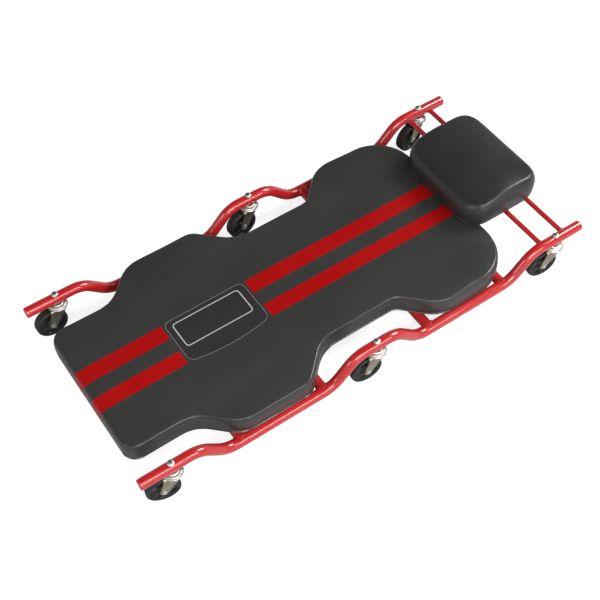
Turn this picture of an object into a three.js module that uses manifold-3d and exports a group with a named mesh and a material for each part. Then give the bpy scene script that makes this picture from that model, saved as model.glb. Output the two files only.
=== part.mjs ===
// A mechanics creeper: a padded deck and headrest on a cranked tube frame with six swivel casters.
// Millimetres, +Z up. +X points to the head end and +Y to the left side of the frame.
// The origin is on the floor, under the middle of the frame.

import * as THREE from 'three';
import { mergeVertices } from 'three/addons/utils/BufferGeometryUtils.js';
import Module from 'manifold-3d';

const wasm = await Module();
wasm.setup();

// ---------------------------------------------------------------- driving dimensions

const GAP = 0.3;                // clearance kept between neighbouring pieces
const SIDES = [['left', 1], ['right', -1]];

const RAIL = {
  y: 200,                       // centreline of each rail, left and right of the middle
  radius: 10, wall: 1.5, sides: 12, boreSides: 8,
  halfLength: 459,
  high: 83,                     // centreline height over the casters and at both ends
  low: 34,                      // centreline height under the deck
  outerCrank: 325, innerCrank: 66,   // x of the middle of each 45 degree crank
  bendRadius: 50, endWall: 2,
};

const CROSS_TUBE = {
  radius: 9.5, wall: 1.5, x: [-272, -107, 119, 286], names: ['foot', 'hip', 'waist', 'shoulder'],
};
const HEAD_ROD = { radius: 4.75, x: [372, 422.5], names: ['inner', 'outer'] };

const DECK = {
  bottom: RAIL.low + RAIL.radius + GAP,
  top: 82,
  board: 9, lip: 3,             // board thickness, and cover wrapped round its edge
  // corners of the left half of the outline, foot to head: x, y, corner radius
  corners: [
    [-448, 141.5, 27], [-325.5, 141, 60], [-266.5, 199, 60], [-128.5, 199, 30],
    [-66.5, 138.2, 70], [87, 138.2, 28], [146.5, 199, 70], [318.5, 194.5, 84],
  ],
  // rounded upper edge: height below the top, inset from the outline
  edge: [[9, 0], [4.2, 1.4], [1.2, 4.4], [0, 9]],
  easeX: 283, easeAngle: 2,     // the top eases down under the headrest from here
};

const HEADREST = {
  x: [282, 451.5], halfWidth: 106, cornerRadius: 42,
  bottom: RAIL.high + HEAD_ROD.radius + GAP,
  top: 151,
  board: 9, lip: 6,
  // crowned side: height above the bottom, inset from the outline
  edge: [[0, 6], [6, 2.6], [16, 0.5], [30, 0], [48, 0.5], [55, 2.8], [60.4, 7.5], [62.95, 16]],
  // the loaf shape seen from the side: heights of the shoulder and the crown, and how square its
  // foot half and its head half are
  shoulder: 20, crown: 63.4, power: { foot: 2.4, head: 5 },
};

const CLIP = { y: 62, width: 16, thickness: 1.5, reach: 14 };

const SCREW = { y: 110, radius: 2, headRadius: 4.5, headHeight: 2.5, tip: 51, holeRadius: 2.6 };

const CASTER = {
  trail: 21,                    // stem axis to axle
  x: { foot: -400, mid: 0, head: 400 },
  // direction from the stem to the axle, degrees about +Z
  heading: {
    foot_left: 181, mid_left: 185, head_left: 189,
    foot_right: 168, mid_right: 175, head_right: 172,
  },
};

const WHEEL = { radius: 30.5, halfWidth: 8.8, boreRadius: 3.5, sides: 20 };
// The faceted tread stands on one of its flats.
WHEEL.centre = WHEEL.radius * Math.cos(Math.PI / WHEEL.sides);

const FORK = {
  crownTop: 64.9, crownBottom: 62.4, crownRadius: 15,
  inner: 9.5, outer: 11.7,      // faces of each leg, from the wheel's mid plane
  shoulder: 60, back: -10, front: 19, tipRadius: 7.5,
};

const CUP = { radius: 18, wall: 2, top: RAIL.high - RAIL.radius - GAP, rim: 65.4 };
const BALL_RING = { radius: 12.2, thickness: 2.6, z: 67.8 };
const STEM = { radius: 4, headRadius: 6.5, headHeight: 4, rivetRadius: 6, rivetHeight: 1.4, holeRadius: 4.6 };
const AXLE = { radius: 3, headRadius: 5, headHeight: 2 };

// ---------------------------------------------------------------- materials

const finish = (color, roughness, metalness = 0) => ({ color, roughness, metalness });
const RED_PAINT = finish(0xc81e24, 0.3, 0.1);
const VINYL = finish(0x363636, 0.5);
const GLOSSY_VINYL = finish(0x333333, 0.4);
const PLYWOOD = finish(0xb08a5a, 0.8);
const ZINC = finish(0xc9ccd0, 0.35, 0.9);
const DULL_ZINC = finish(0x9a9680, 0.45, 0.8);
const STEEL = finish(0x8a8d91, 0.4, 0.9);
const WHEEL_RUBBER = finish(0x1e1e20, 0.65);

// ---------------------------------------------------------------- solids

// Joins a closed geometry's shared vertices and makes it a solid.
function toSolid(geometry) {
  const bare = geometry.clone();
  bare.deleteAttribute('normal');
  bare.deleteAttribute('uv');
  const merged = mergeVertices(bare, 1e-4);
  return new wasm.Manifold(new wasm.Mesh({
    numProp: 3,
    vertProperties: new Float32Array(merged.attributes.position.array),
    triVerts: new Uint32Array(merged.index.array),
  }));
}

function toGeometry(solid) {
  const mesh = solid.getMesh();
  const geometry = new THREE.BufferGeometry();
  geometry.setAttribute('position', new THREE.BufferAttribute(mesh.vertProperties, 3));
  geometry.setIndex(new THREE.BufferAttribute(mesh.triVerts, 1));
  return geometry;
}

// Cuts every tool geometry out of the first one.
function cut(geometry, ...tools) {
  return toGeometry(tools.reduce((solid, tool) => solid.subtract(toSolid(tool)), toSolid(geometry)));
}

function join(geometry, ...others) {
  return toGeometry(others.reduce((solid, other) => solid.add(toSolid(other)), toSolid(geometry)));
}

// A cylinder along Z between two heights.
function upright(radius, z0, z1, sides, x = 0, y = 0) {
  return new THREE.CylinderGeometry(radius, radius, z1 - z0, sides)
    .rotateX(Math.PI / 2).translate(x, y, (z0 + z1) / 2);
}

// A cylinder along Y, centred on y = 0.
function crosswise(radius, length, sides, x, z) {
  return new THREE.CylinderGeometry(radius, radius, length, sides).translate(x, 0, z);
}

// A solid of revolution about Z from [radius, height] pairs that run upwards on the outside.
function turnedAboutZ(profile, sides) {
  return turnedAboutY(profile, sides).rotateX(Math.PI / 2);
}

function turnedAboutY(profile, sides) {
  const points = profile.map(([radius, height]) => new THREE.Vector2(radius, height));
  return new THREE.LatheGeometry(points, sides, Math.PI / sides);
}

// A closed skin over rings of equal point count, with both ends capped. The contour is one ring seen flat.
function loft(rings, contour) {
  const count = contour.length;
  const index = [];
  for (let ring = 0; ring < rings.length - 1; ring++) {
    for (let i = 0; i < count; i++) {
      const a = ring * count + i;
      const b = ring * count + ((i + 1) % count);
      index.push(a, b, b + count, a, b + count, a + count);
    }
  }
  const last = (rings.length - 1) * count;
  for (const [a, b, c] of THREE.ShapeUtils.triangulateShape(contour, [])) {
    index.push(a, c, b, last + a, last + b, last + c);
  }
  const geometry = new THREE.BufferGeometry().setFromPoints(rings.flat());
  geometry.setIndex(index);
  return geometry;
}

// ---------------------------------------------------------------- outlines

// The arc that rounds one corner of an outline, from its first tangent point to its last.
function roundCorner(before, corner, after, radius, stepDegrees) {
  if (radius === 0) return [corner];
  const into = corner.clone().sub(before).normalize();
  const out = after.clone().sub(corner).normalize();
  const turn = Math.atan2(into.cross(out), into.dot(out));
  const start = corner.clone().addScaledVector(into, -radius * Math.tan(Math.abs(turn) / 2));
  const sideways = new THREE.Vector2(-into.y, into.x).multiplyScalar(Math.sign(turn) * radius);
  const centre = start.clone().add(sideways);
  const steps = Math.ceil(Math.abs(turn) / THREE.MathUtils.degToRad(stepDegrees));
  return Array.from({ length: steps + 1 }, (_, i) => start.clone().rotateAround(centre, (turn * i) / steps));
}

// Rounds the corners of a path given as [u, v, radius]. An open path keeps its two end points.
function roundPath(corners, closed, stepDegrees) {
  const points = corners.map(([u, v]) => new THREE.Vector2(u, v));
  const count = points.length;
  return corners.flatMap(([, , radius], i) => roundCorner(
    points[(i + count - 1) % count], points[i], points[(i + 1) % count],
    closed || (i > 0 && i < count - 1) ? radius : 0, stepDegrees));
}

// Moves a closed counter-clockwise outline inwards by a distance.
function inset(outline, distance) {
  const count = outline.length;
  return outline.map((point, i) => {
    const tangent = outline[(i + 1) % count].clone().sub(outline[(i + count - 1) % count]).normalize();
    return new THREE.Vector2(point.x - tangent.y * distance, point.y + tangent.x * distance);
  });
}

const ringAt = (outline, z) => outline.map(({ x, y }) => new THREE.Vector3(x, y, z));

function slab(outline, z0, z1) {
  return loft([ringAt(outline, z0), ringAt(outline, z1)], outline);
}

// ---------------------------------------------------------------- frame

// The rail's centreline in x and z: high over each caster, low under the deck.
function railPath(halfLength) {
  const run = (RAIL.high - RAIL.low) / 2;
  const half = [
    [RAIL.innerCrank - run, RAIL.high, RAIL.bendRadius], [RAIL.innerCrank + run, RAIL.low, RAIL.bendRadius],
    [RAIL.outerCrank - run, RAIL.low, RAIL.bendRadius], [RAIL.outerCrank + run, RAIL.high, RAIL.bendRadius],
    [halfLength, RAIL.high, 0],
  ];
  const mirrored = half.map(([x, z, radius]) => [-x, z, radius]).reverse();
  return roundPath([...mirrored, ...half], false, 23);
}

// A round bar along a path that lies in the plane at y.
function barAlong(path, y, radius, sides) {
  const circle = Array.from({ length: sides }, (_, i) => {
    const angle = (2 * Math.PI * (i + 0.5)) / sides;
    return new THREE.Vector2(radius * Math.cos(angle), radius * Math.sin(angle));
  });
  const rings = path.map((point, i) => {
    const before = path[Math.max(i - 1, 0)];
    const after = path[Math.min(i + 1, path.length - 1)];
    const along = after.clone().sub(before).normalize();
    return circle.map(({ x: u, y: v }) => new THREE.Vector3(
      point.x - along.y * v, y + u, point.y + along.x * v));
  });
  return loft(rings, circle);
}

// A bent tube with closed ends. The stem bolt holes through both walls open its inside.
function sideRail(side) {
  const y = side * RAIL.y;
  const tube = barAlong(railPath(RAIL.halfLength), y, RAIL.radius, RAIL.sides);
  const bore = barAlong(
    railPath(RAIL.halfLength - RAIL.endWall), y, RAIL.radius - RAIL.wall, RAIL.boreSides);
  const holes = Object.values(CASTER.x).map((x) => upright(STEM.holeRadius, CUP.top, RAIL.high + 20, 12, x, y));
  return cut(tube, bore, ...holes);
}

const railClearance = SIDES.map(([, side]) => barAlong(
  railPath(RAIL.halfLength), side * RAIL.y, RAIL.radius + GAP, RAIL.sides));

// An open tube between the rails, with its ends coped to them and two screw holes through it.
function crossTube(x) {
  const { radius, wall } = CROSS_TUBE;
  const z = DECK.bottom - GAP - radius;
  const bore = crosswise(radius - wall, 2 * RAIL.y, 10, x, z);
  const holes = SIDES.map(([, side]) => upright(SCREW.holeRadius, z - 2 * radius, z + 2 * radius, 8,
    x, side * SCREW.y));
  return cut(crosswise(radius, 2 * (RAIL.y - 2), 14, x, z), bore, ...railClearance, ...holes);
}

function headRod(x) {
  return cut(crosswise(HEAD_ROD.radius, 2 * (RAIL.y - 2), 12, x, RAIL.high), ...railClearance);
}

// ---------------------------------------------------------------- deck

const deckOutline = (() => {
  const right = DECK.corners.map(([x, y, radius]) => [x, -y, radius]);
  return roundPath([...right, ...DECK.corners.toReversed()], true, 15);
})();

// The cover and its foam: a cushion with a rounded top edge and a pocket for the board beneath.
function deckPad() {
  const rings = DECK.edge.map(([depth, distance]) => ringAt(inset(deckOutline, distance), DECK.top - depth));
  const cushion = loft([ringAt(deckOutline, DECK.bottom), ...rings], deckOutline);
  const pocket = slab(inset(deckOutline, DECK.lip), DECK.bottom - 1, DECK.bottom + DECK.board + GAP);
  const reach = 200;
  const ease = new THREE.BoxGeometry(reach, 3 * RAIL.y, 20).translate(reach / 2, 0, 10)
    .rotateY(THREE.MathUtils.degToRad(DECK.easeAngle)).translate(DECK.easeX, 0, DECK.top);
  return cut(cushion, pocket, ease);
}

// Plywood, with blind holes for the screws.
function deckBoard() {
  const board = slab(inset(deckOutline, DECK.lip + GAP), DECK.bottom, DECK.bottom + DECK.board);
  const holes = CROSS_TUBE.x.flatMap((x) => SIDES.map(([, side]) => upright(
    SCREW.holeRadius, DECK.bottom - 1, SCREW.tip + GAP, 8, x, side * SCREW.y)));
  return cut(board, ...holes);
}

function deckScrew(x, y) {
  const seat = DECK.bottom - GAP - 2 * CROSS_TUBE.radius - GAP;
  const { radius, headRadius, headHeight, tip } = SCREW;
  return turnedAboutZ([
    [0, seat - headHeight], [headRadius * 0.8, seat - headHeight], [headRadius, seat],
    [radius, seat], [radius, tip - 3], [0, tip],
  ], 8).translate(x, y, 0);
}

// ---------------------------------------------------------------- headrest

const headrestOutline = (() => {
  const [x0, x1] = HEADREST.x;
  const { halfWidth: y, cornerRadius: radius } = HEADREST;
  return roundPath([[x0, -y, radius], [x1, -y, radius], [x1, y, radius], [x0, y, radius]], true, 15);
})();

// Everything above the loaf-shaped curve that the headrest's top follows from foot to head.
function aboveHeadrest() {
  const [x0, x1] = HEADREST.x;
  const { bottom, shoulder, crown, power } = HEADREST;
  const beyond = 5;
  const steps = 28;
  const curve = Array.from({ length: steps + 1 }, (_, i) => {
    const u = -Math.cos((Math.PI * i) / steps);
    const squareness = u < 0 ? power.foot : power.head;
    const rise = (1 - Math.min(1, Math.abs(u)) ** squareness) ** (1 / squareness);
    return new THREE.Vector2((x0 + x1) / 2 + (u * (x1 - x0)) / 2, bottom + shoulder + (crown - shoulder) * rise);
  });
  const section = [
    new THREE.Vector2(x0 - beyond, bottom + shoulder), ...curve,
    new THREE.Vector2(x1 + beyond, bottom + shoulder),
    new THREE.Vector2(x1 + beyond, HEADREST.top + beyond), new THREE.Vector2(x0 - beyond, HEADREST.top + beyond),
  ];
  const reach = HEADREST.halfWidth + beyond;
  return loft([reach, -reach].map((y) => section.map(({ x, y: z }) => new THREE.Vector3(x, y, z))), section);
}

function headrestPad() {
  const rings = HEADREST.edge.map(([height, distance]) => ringAt(
    inset(headrestOutline, distance), Math.min(HEADREST.bottom + height, HEADREST.top)));
  const pocket = slab(inset(headrestOutline, HEADREST.lip), HEADREST.bottom - 1,
    HEADREST.bottom + HEADREST.board + GAP);
  return cut(loft(rings, headrestOutline), pocket, aboveHeadrest());
}

function headrestBoard() {
  return slab(inset(headrestOutline, HEADREST.lip + GAP), HEADREST.bottom, HEADREST.bottom + HEADREST.board);
}

// A strap bent under a head rod, with a flat ear on each side against the headrest board.
function saddleClip(x, y) {
  const { width, thickness, reach } = CLIP;
  const seat = HEADREST.bottom - GAP - RAIL.high;
  const inside = HEAD_ROD.radius + GAP + 0.1;
  const outside = inside + thickness;
  const shape = new THREE.Shape();
  shape.moveTo(-reach, seat).lineTo(-reach, seat - thickness).lineTo(-outside, seat - thickness);
  shape.lineTo(-outside, 0).absarc(0, 0, outside, Math.PI, 2 * Math.PI, false);
  shape.lineTo(outside, seat - thickness).lineTo(reach, seat - thickness).lineTo(reach, seat);
  shape.lineTo(inside, seat).lineTo(inside, 0).absarc(0, 0, inside, 2 * Math.PI, Math.PI, true);
  shape.lineTo(-inside, seat).closePath();
  return new THREE.ExtrudeGeometry(shape, { depth: width, bevelEnabled: false, curveSegments: 6 })
    .rotateX(Math.PI / 2).translate(x, y + width / 2, RAIL.high);
}

// ---------------------------------------------------------------- casters, each about its own stem axis

function stemBolt() {
  const { radius, headRadius, headHeight, rivetRadius, rivetHeight } = STEM;
  const seat = RAIL.high + RAIL.radius + GAP;
  const foot = FORK.crownBottom - GAP;
  const bolt = turnedAboutZ([
    [0, foot - rivetHeight], [rivetRadius, foot - rivetHeight], [rivetRadius, foot], [radius, foot],
    [radius, seat], [headRadius, seat], [headRadius, seat + headHeight * 0.35],
    [headRadius * 0.75, seat + headHeight * 0.85], [0, seat + headHeight],
  ], 10);
  return cut(bolt, upright(headRadius * 0.4, seat + headHeight * 0.4, seat + 2 * headHeight, 6));
}

// An inverted dish against the rail that covers the balls.
function swivelCup() {
  const { radius, wall, top, rim } = CUP;
  const hole = STEM.holeRadius;
  return turnedAboutZ([
    [hole, top], [hole, top - wall], [radius - wall, top - wall], [radius - wall, rim], [radius, rim],
    [radius, top - wall * 0.6], [radius - wall * 0.6, top], [hole, top],
  ], 14);
}

function ballRing() {
  return new THREE.TorusGeometry(BALL_RING.radius, BALL_RING.thickness, 6, 10).translate(0, 0, BALL_RING.z);
}

// One leg, in x and z: a plate that tapers from the crown to a round tip about the axle.
function forkLeg(y0) {
  const { back, front, shoulder, crownTop, tipRadius, inner, outer } = FORK;
  const tip = new THREE.Vector2(CASTER.trail, WHEEL.centre);
  // angle of the tip's tangent point for a straight edge that starts at a shoulder
  const tangent = (x, side) => {
    const away = new THREE.Vector2(x, shoulder).sub(tip);
    return away.angle() + side * Math.acos(tipRadius / away.length());
  };
  const shape = new THREE.Shape();
  shape.moveTo(back, crownTop).lineTo(back, shoulder);
  shape.absarc(tip.x, tip.y, tipRadius, tangent(back, 1), tangent(front, -1) + 2 * Math.PI, false);
  shape.lineTo(front, shoulder).lineTo(front, crownTop).closePath();
  return new THREE.ExtrudeGeometry(shape, { depth: outer - inner, bevelEnabled: false, curveSegments: 6 })
    .rotateX(Math.PI / 2).translate(0, y0 + outer - inner, 0);
}

function forkCrown() {
  const { crownTop, crownBottom, crownRadius, front, outer } = FORK;
  const corner = Math.asin(outer / crownRadius);
  const shape = new THREE.Shape();
  shape.moveTo(front, -outer).lineTo(front, outer);
  shape.absarc(0, 0, crownRadius, corner, 2 * Math.PI - corner, false).closePath();
  const depth = crownTop - crownBottom;
  return new THREE.ExtrudeGeometry(shape, { depth, bevelEnabled: false, curveSegments: 8 })
    .translate(0, 0, crownBottom);
}

function fork() {
  const body = join(forkCrown(), forkLeg(FORK.inner), forkLeg(-FORK.outer));
  const stemHole = upright(STEM.holeRadius, FORK.crownBottom - 2, FORK.crownTop + 2, 10);
  const axleHole = crosswise(AXLE.radius + GAP + 0.1, 4 * FORK.outer, 8, CASTER.trail, WHEEL.centre);
  return cut(body, stemHole, axleHole);
}

function axlePin() {
  const { radius, headRadius, headHeight } = AXLE;
  const seat = FORK.outer + GAP;
  const end = seat + headHeight;
  const bevel = headHeight * 0.4;
  return turnedAboutY([
    [0, -end], [headRadius - bevel, -end], [headRadius, -end + bevel], [headRadius, -seat], [radius, -seat],
    [radius, seat], [headRadius, seat], [headRadius, end - bevel], [headRadius - bevel, end], [0, end],
  ], 8);
}

// A tread with rounded shoulders, a sunken web and a hub that nearly meets the fork.
function wheel() {
  const { radius, halfWidth, boreRadius, sides } = WHEEL;
  const web = halfWidth - 2.4;
  const half = [[boreRadius, halfWidth], [9, halfWidth], [11, web], [23.5, web], [27.3, halfWidth]];
  return turnedAboutY([
    ...half.map(([r, y]) => [r, -y]), [radius, -(halfWidth - 3.2)],
    [radius, halfWidth - 3.2], ...half.toReversed(), [boreRadius, -halfWidth],
  ], sides);
}

// ---------------------------------------------------------------- assembly

function named(name, geometry, look) {
  const mesh = new THREE.Mesh(geometry, new THREE.MeshStandardMaterial(look));
  mesh.name = name;
  return mesh;
}

// One caster: the bolt and cup are fixed to the rail, and the rest turns with the fork.
function caster(place, x, sideName, side) {
  const station = `${place}_${sideName}`;
  const fixed = new THREE.Group();
  fixed.position.set(x, side * RAIL.y, 0);
  fixed.add(named(`stem_bolt_${station}`, stemBolt(), ZINC));
  fixed.add(named(`swivel_cup_${station}`, swivelCup(), ZINC));
  const swivel = new THREE.Group();
  swivel.rotation.z = THREE.MathUtils.degToRad(CASTER.heading[station]);
  swivel.add(named(`ball_ring_${station}`, ballRing(), STEEL));
  swivel.add(named(`fork_${station}`, fork(), DULL_ZINC));
  const axle = new THREE.Group();
  axle.position.set(CASTER.trail, 0, WHEEL.centre);
  axle.add(named(`axle_pin_${station}`, axlePin(), ZINC));
  axle.add(named(`wheel_${station}`, wheel(), WHEEL_RUBBER));
  swivel.add(axle);
  fixed.add(swivel);
  return fixed;
}

const creeper = new THREE.Group();
creeper.name = 'mechanics_creeper';

SIDES.forEach(([name, side]) => creeper.add(named(`side_rail_${name}`, sideRail(side), RED_PAINT)));
CROSS_TUBE.x.forEach((x, i) => creeper.add(
  named(`cross_tube_${CROSS_TUBE.names[i]}`, crossTube(x), RED_PAINT)));
HEAD_ROD.x.forEach((x, i) => creeper.add(named(`head_rod_${HEAD_ROD.names[i]}`, headRod(x), RED_PAINT)));

creeper.add(named('deck_board', deckBoard(), PLYWOOD));
creeper.add(named('deck_pad', deckPad(), VINYL));
CROSS_TUBE.x.forEach((x, i) => SIDES.forEach(([name, side]) => creeper.add(
  named(`deck_screw_${CROSS_TUBE.names[i]}_${name}`, deckScrew(x, side * SCREW.y), ZINC))));

creeper.add(named('headrest_board', headrestBoard(), PLYWOOD));
creeper.add(named('headrest_pad', headrestPad(), GLOSSY_VINYL));
HEAD_ROD.x.forEach((x, i) => SIDES.forEach(([name, side]) => creeper.add(
  named(`saddle_clip_${HEAD_ROD.names[i]}_${name}`, saddleClip(x, side * CLIP.y), ZINC))));

for (const [place, x] of Object.entries(CASTER.x)) {
  SIDES.forEach(([name, side]) => creeper.add(caster(place, x, name, side)));
}

export default creeper;
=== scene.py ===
"""The looks of a mechanics creeper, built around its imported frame.

Shapes are worked out in millimetres in the row frame (+X to the head end, +Y to the left, +Z up)
and become metres when their mesh is made.
"""

import math

import bmesh
import bpy
import numpy as np
from mathutils import Matrix, Vector


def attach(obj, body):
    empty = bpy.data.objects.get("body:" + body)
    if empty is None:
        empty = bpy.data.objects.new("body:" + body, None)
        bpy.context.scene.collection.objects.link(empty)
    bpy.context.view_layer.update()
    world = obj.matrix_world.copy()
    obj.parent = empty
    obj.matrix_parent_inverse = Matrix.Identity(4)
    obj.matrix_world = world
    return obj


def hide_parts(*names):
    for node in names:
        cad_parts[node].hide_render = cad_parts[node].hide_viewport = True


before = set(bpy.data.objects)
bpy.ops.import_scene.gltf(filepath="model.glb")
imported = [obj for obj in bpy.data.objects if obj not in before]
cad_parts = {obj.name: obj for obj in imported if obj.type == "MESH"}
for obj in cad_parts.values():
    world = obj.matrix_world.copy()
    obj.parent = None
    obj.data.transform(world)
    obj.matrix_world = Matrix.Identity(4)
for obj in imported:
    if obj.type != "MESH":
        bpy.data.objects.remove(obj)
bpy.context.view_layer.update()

MM = 0.001
SIDES = (("left", 1), ("right", -1))

# ---------------------------------------------------------------- dimensions, in millimetres

RAIL_Y, RAIL_RADIUS, RAIL_HALF_LENGTH = 200, 10, 459
RAIL_HIGH, RAIL_LOW = 83, 34
OUTER_CRANK, INNER_CRANK, CRANK_BEND = 325, 66, 50
CROSS_TUBE_RADIUS, CROSS_TUBE_Z = 9.5, 34.5
CROSS_TUBES = {"foot": -272, "hip": -107, "waist": 119, "shoulder": 286}
HEAD_ROD_RADIUS = 4.75
HEAD_RODS = {"inner": 372, "outer": 422.5}

DECK_CORNERS = [
    (-448, 141.5, 27), (-325.5, 141, 60), (-266.5, 199, 60), (-128.5, 199, 30),
    (-66.5, 138.2, 70), (87, 138.2, 28), (146.5, 199, 70), (318.5, 194.5, 84),
]
DECK_BOTTOM, DECK_LIP = 44.3, 3
DECK_RINGS = [(0, 0.8), (4, 0.5), (20, 0.4), (31.5, 0.8), (35.3, 2.4), (36.7, 6)]
HEADREST_X, HEADREST_Y, HEADREST_CORNER = (282, 451.5), 106, 42
HEADREST_BOTTOM, HEADREST_SHOULDER, HEADREST_CROWN, HEADREST_LIP = 88.05, 19, 60, 6
HEADREST_ROUNDING, FOOT_POWER, HEAD_POWER = 15, 2.4, 5
HEADREST_SIDE = ((0, 5), (5, 3.2), (12, 2), (HEADREST_SHOULDER, 1.6))
HEADREST_TOP_DEPTHS = (2.2, 3.2, 5, 8, 12, 18, 27)
HEADREST_CORE_SCALES = (0.85, 0.7, 0.55, 0.4, 0.25, 0.1)
BOARD_SPACE = 9.3
SCREW_Y, SCREW_SEAT = 110, 24.7
CLIP_Y, CLIP_WIDTH, CLIP_THICKNESS, CLIP_REACH = 62, 16, 1.5, 14

STRIPES_Y = ((10.2, 41.8), (-49.8, -20.2))
STRIPE_GAP_X = (-280, -111)
BADGE_X, BADGE_Y = (-275, -116), (-48, 43)
PANEL_X, PANEL_Y = (-263, -130.5), (-20, 33)

STATIONS = {
    "foot_left": (-400, 200, 181), "mid_left": (0, 200, 185), "head_left": (400, 200, 189),
    "foot_right": (-400, -200, 168), "mid_right": (0, -200, 175), "head_right": (400, -200, 172),
}
TRAIL, AXLE_Z = 21, 30.125
WHEEL_RADIUS, WHEEL_HALF_WIDTH = 30.12, 8.8

VOXEL, PRESSURE, FRAMES = 4, 4, 20
CALMING_ROUNDS = 80
PLEAT = 9.5
HEM_WIDTH, STAPLE_DEPTH, STAPLE_SPACING, STAPLE_LENGTH, STAPLE_WIRE = 18, 10, 33, 10, 0.55

# ---------------------------------------------------------------- shader nodes


class Shader:
    """A material whose nodes are added one call at a time."""

    def __init__(self, name):
        self.material = bpy.data.materials.new(name)
        self.material.use_nodes = True
        self.tree = self.material.node_tree
        self.surface = self.tree.nodes["Principled BSDF"]
        self.position = self.node("ShaderNodeTexCoord").outputs["Object"]

    def node(self, kind, settings=None, **inputs):
        made = self.tree.nodes.new(kind)
        for key, value in (settings or {}).items():
            setattr(made, key, value)
        for key, value in inputs.items():
            self.feed(made.inputs[key.replace("_", " ")], value)
        return made

    def feed(self, socket, value):
        if isinstance(value, bpy.types.NodeSocket):
            self.tree.links.new(value, socket)
        elif isinstance(value, tuple) and socket.type == "RGBA":
            socket.default_value = (*value, 1)
        else:
            socket.default_value = value

    def math(self, operation, *values):
        made = self.node("ShaderNodeMath", {"operation": operation})
        for socket, value in zip(made.inputs, values):
            self.feed(socket, value)
        return made.outputs[0]

    def ramp(self, value, low, high, out_low=0.0, out_high=1.0):
        made = self.node("ShaderNodeMapRange", {"interpolation_type": "SMOOTHSTEP"})
        for socket, given in zip(made.inputs, (value, low, high, out_low, out_high)):
            self.feed(socket, given)
        return made.outputs[0]

    def mix(self, factor, a, b):
        made = self.node("ShaderNodeMix", {"data_type": "RGBA"})
        self.feed(made.inputs[0], factor)
        self.feed(made.inputs[6], a)
        self.feed(made.inputs[7], b)
        return made.outputs[2]

    def stretched(self, x, y, z):
        return self.node("ShaderNodeMapping", Vector=self.position, Scale=(x, y, z)).outputs[0]

    def noise(self, scale, detail=3.0, vector=None, roughness=0.5):
        return self.node("ShaderNodeTexNoise", Vector=vector or self.position, Scale=scale,
                         Detail=detail, Roughness=roughness).outputs[0]

    def cells(self, scale, feature="DISTANCE_TO_EDGE", vector=None):
        return self.node("ShaderNodeTexVoronoi", {"feature": feature},
                         Vector=vector or self.position, Scale=scale).outputs["Distance"]

    def bump(self, height, strength, depth_mm, under=None):
        made = self.node("ShaderNodeBump", Height=height, Strength=strength, Distance=depth_mm * MM)
        if under is not None:
            self.feed(made.inputs["Normal"], under)
        return made.outputs[0]

    def axes(self):
        return self.node("ShaderNodeSeparateXYZ", Vector=self.position).outputs

    def rounded_box(self, x, y, corner, bow=0.0):
        """Distance in metres from the edge of a rounded rectangle, negative inside.

        Its low y edge may bow outwards, by bow mm in the middle.
        """
        px, py = self.axes()[0], self.axes()[1]
        off = self.math("SUBTRACT", px, sum(x) / 2 * MM)
        off = self.math("DIVIDE", off, (x[1] - x[0]) / 2 * MM)
        arch = self.math("SUBTRACT", 1.0, self.math("MULTIPLY", off, off))
        arch = self.math("MAXIMUM", arch, 0.0)
        lower = self.ramp(py, y[0] * MM, 0.0, bow * MM, 0.0)
        py = self.math("ADD", py, self.math("MULTIPLY", arch, lower))
        sides = []
        for p, (low, high) in ((px, x), (py, y)):
            middle, half = (low + high) / 2 * MM, (high - low) / 2 * MM - corner * MM
            away = self.math("ABSOLUTE", self.math("SUBTRACT", p, middle))
            sides.append(self.math("SUBTRACT", away, half))
        outside = [self.math("MAXIMUM", s, 0.0) for s in sides]
        reach = self.math("SQRT", self.math("ADD", *[self.math("MULTIPLY", s, s) for s in outside]))
        inside = self.math("MINIMUM", self.math("MAXIMUM", *sides), 0.0)
        return self.math("SUBTRACT", self.math("ADD", reach, inside), corner * MM)

    def line(self, distance, width_mm):
        """1 on a line of that width along distance 0, and 0 away from it."""
        away = self.math("ABSOLUTE", distance)
        return self.ramp(away, width_mm * 0.4 * MM, width_mm * 0.6 * MM, 1.0, 0.0)

    def finish(self, **inputs):
        for key, value in inputs.items():
            self.feed(self.surface.inputs[key.replace("_", " ")], value)
        return self.material


def powder_coat():
    s = Shader("red_powder_coat")
    cloud, peel = s.noise(14), s.noise(650, 2)
    scuff = s.ramp(s.noise(60, 6, s.stretched(0.25, 1, 1), 0.7), 0.62, 0.72)
    colour = s.mix(cloud, (0.43, 0.010, 0.011), (0.51, 0.014, 0.015))
    colour = s.mix(s.math("MULTIPLY", scuff, 0.35), colour, (0.28, 0.010, 0.011))
    rough = s.ramp(cloud, 0.3, 0.7, 0.28, 0.33)
    rough = s.math("ADD", rough, s.math("MULTIPLY", scuff, 0.16))
    return s.finish(Base_Color=colour, Roughness=rough, Specular_IOR_Level=0.4,
                    Coat_Weight=1.0, Coat_Roughness=0.05, Normal=s.bump(peel, 0.12, 0.12))


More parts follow.
